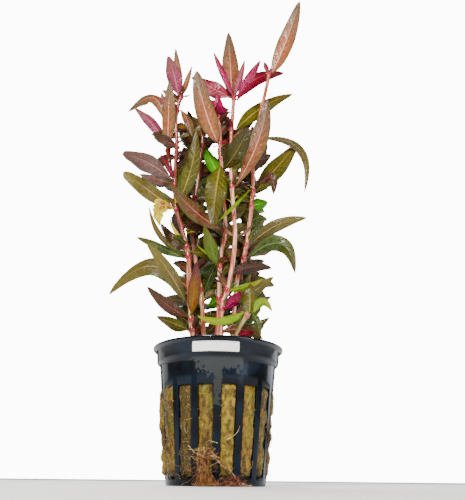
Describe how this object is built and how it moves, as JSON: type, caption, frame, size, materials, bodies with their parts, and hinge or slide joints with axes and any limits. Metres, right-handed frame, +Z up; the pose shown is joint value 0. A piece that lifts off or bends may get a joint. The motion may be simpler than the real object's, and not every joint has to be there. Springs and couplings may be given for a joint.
{
  "type": "potted aquarium plant",
  "caption": "Leafy red and olive aquarium stem plant, rooted in rock wool inside a slotted black net pot that stands on its flat foot.",
  "frame": {"origin": "centre of the pot's flat underside", "axes": "+Z up along the pot's axis, -Y towards the viewer, where the blank label is, +X to the viewer's right"},
  "size_m": [0.0864, 0.0597, 0.2232],
  "materials": {
    "black_plastic": "wet gloss, bluish black",
    "white_paper": "matte, blank",
    "rock_wool": "wet fibrous mineral wool, stained olive and brown",
    "root": "wet fine roots, orange brown",
    "stem": "moist, salmon with red swollen nodes",
    "stem_lime": "moist, pale green",
    "stem_umber": "moist, brown pink",
    "leaf_olive": "wet leaf, olive with pale midrib",
    "leaf_moss": "wet leaf, dark green",
    "leaf_green": "wet leaf, bright green",
    "leaf_lime": "wet leaf, yellow green",
    "leaf_yellow": "withered leaf, pale yellow",
    "leaf_bronze": "wet leaf, brown olive",
    "leaf_umber": "wet leaf, dark brown",
    "leaf_rosewood": "wet leaf, red brown with olive edges",
    "leaf_mauve": "wet leaf, grey purple",
    "leaf_plum": "wet leaf, plum with ochre base",
    "leaf_salmon": "wet leaf, salmon tan with cream midrib",
    "leaf_pink": "glossy wet leaf, pink",
    "leaf_maroon": "glossy wet leaf, dark red with pink midrib",
    "leaf_magenta": "glossy young leaf, magenta"
  },
  "bodies": {
    "root": {"pot": "black_plastic", "label": "white_paper", "rockwool": "rock_wool", "root_tuft": "root", "root_long": "root", "root_tangle": "root", "stem_left": "stem", "stem_left_fork": "stem", "stem_mid_left": "stem", "stem_centre": "stem", "stem_centre_right": "stem", "stem_right": "stem", "stem_shoot": "stem_lime", "stem_back_left": "stem_umber", "stem_back_middle": "stem_umber", "stem_back_right": "stem_umber", "leaf_left_1": "leaf_olive", "leaf_left_2": "leaf_umber", "leaf_left_3": "leaf_plum", "leaf_left_4": "leaf_bronze", "leaf_left_5": "leaf_bronze", "leaf_left_6": "leaf_bronze", "leaf_left_7": "leaf_moss", "leaf_left_8": "leaf_yellow", "leaf_left_9": "leaf_rosewood", "leaf_left_10": "leaf_mauve", "leaf_left_11": "leaf_olive", "leaf_left_12": "leaf_rosewood", "leaf_left_13": "leaf_pink", "leaf_left_14": "leaf_salmon", "leaf_left_fork_1": "leaf_salmon", "leaf_left_fork_2": "leaf_salmon", "leaf_left_fork_3": "leaf_pink", "leaf_centre_1": "leaf_moss", "leaf_centre_2": "leaf_lime", "leaf_centre_3": "leaf_rosewood", "leaf_centre_4": "leaf_olive", "leaf_centre_5": "leaf_olive", "leaf_centre_6": "leaf_green", "leaf_centre_7": "leaf_salmon", "leaf_centre_right_1": "leaf_salmon", "leaf_centre_right_2": "leaf_magenta", "leaf_centre_right_3": "leaf_maroon", "leaf_centre_right_4": "leaf_maroon", "leaf_centre_right_5": "leaf_olive", "leaf_centre_right_6": "leaf_salmon", "leaf_centre_right_7": "leaf_magenta", "leaf_shoot_1": "leaf_lime", "leaf_shoot_2": "leaf_green", "leaf_shoot_3": "leaf_lime", "leaf_shoot_4": "leaf_moss", "leaf_right_1": "leaf_salmon", "leaf_right_2": "leaf_bronze", "leaf_right_3": "leaf_olive", "leaf_right_4": "leaf_umber", "leaf_right_5": "leaf_lime", "leaf_right_6": "leaf_bronze", "leaf_right_7": "leaf_mauve", "leaf_right_8": "leaf_moss", "leaf_right_9": "leaf_bronze"}
  },
  "joints": []
}
